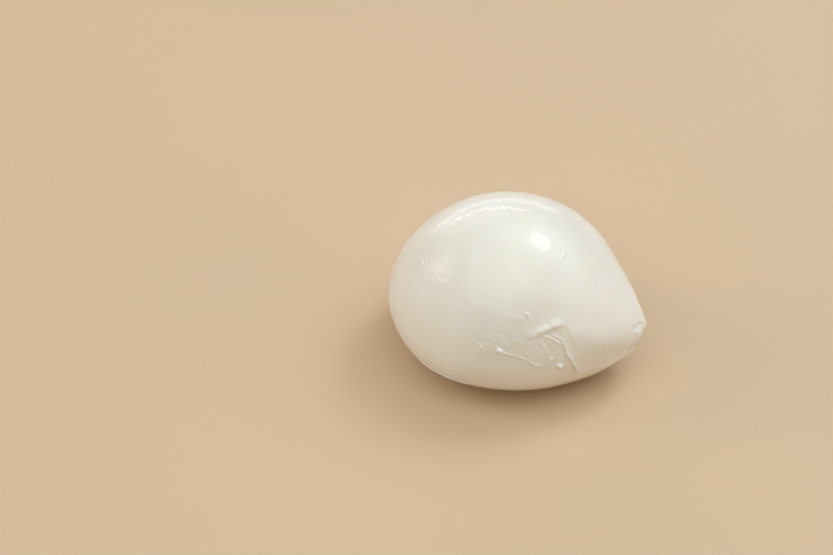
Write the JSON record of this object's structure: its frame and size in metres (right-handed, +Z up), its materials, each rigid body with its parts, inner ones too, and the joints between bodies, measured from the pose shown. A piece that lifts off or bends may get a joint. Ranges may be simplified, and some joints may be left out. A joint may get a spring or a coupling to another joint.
{
  "type": "mozzarella ball",
  "caption": "Fresh mozzarella ball on its side: a moist ivory round with a pinched-off tip and small overlapping skin folds.",
  "frame": {"origin": "centre of the bounding box's bottom face, on the surface the ball rests on", "axes": "+X along the ball towards its pinched tip, +Y across it away from the folded side, +Z up from the flat footprint"},
  "size_m": [0.0912, 0.0782, 0.0578],
  "materials": {
    "mozzarella_skin": "moist, smooth, slightly translucent ivory cheese skin"
  },
  "bodies": {
    "root": {"mozzarella_ball": "mozzarella_skin"}
  },
  "joints": []
}
